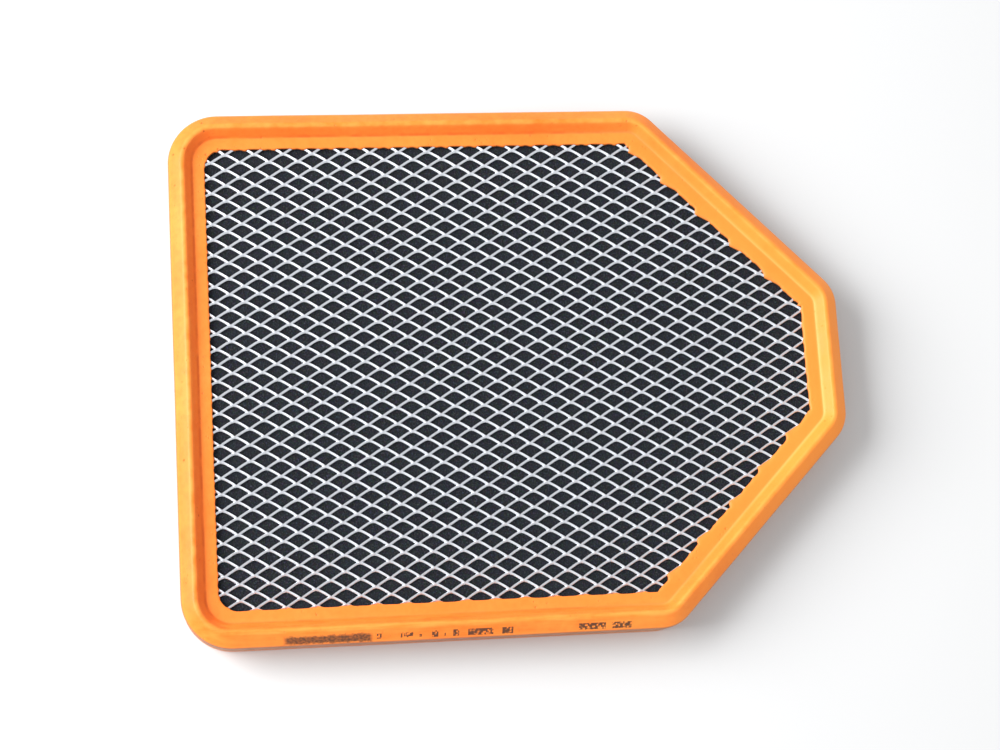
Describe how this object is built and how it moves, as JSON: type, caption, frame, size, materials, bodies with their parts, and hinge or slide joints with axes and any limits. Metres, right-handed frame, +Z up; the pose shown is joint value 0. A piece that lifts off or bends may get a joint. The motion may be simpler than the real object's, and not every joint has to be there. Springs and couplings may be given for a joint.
{
  "type": "panel air filter",
  "caption": "Flat six-sided panel air filter: cast orange frame with a raised sealing ridge, expanded metal guard, black foam pad and pleated paper.",
  "frame": {"origin": "middle of the plan on the flat underside of the frame", "axes": "+X along the length to the narrow nose, +Y across the width, +Z up out of the flame guard side"},
  "size_m": [0.232, 0.184, 0.02],
  "materials": {
    "frame_casting": "soft cast polyurethane, satin skin",
    "guard": "bright mill finish, expanded",
    "foam": "open-cell foam, matt",
    "paper": "resin-impregnated filter paper, matt",
    "glue": "hot-melt glue, slightly glossy"
  },
  "bodies": {
    "root": {"frame": "frame_casting", "guard_mesh": "guard", "foam_pad": "foam", "pleat_pack": "paper", "upper_glue_thread_1": "glue", "upper_glue_thread_2": "glue", "upper_glue_thread_3": "glue", "upper_glue_thread_4": "glue", "upper_glue_thread_5": "glue", "lower_glue_thread_1": "glue", "lower_glue_thread_2": "glue", "lower_glue_thread_3": "glue", "lower_glue_thread_4": "glue", "lower_glue_thread_5": "glue"}
  },
  "joints": []
}
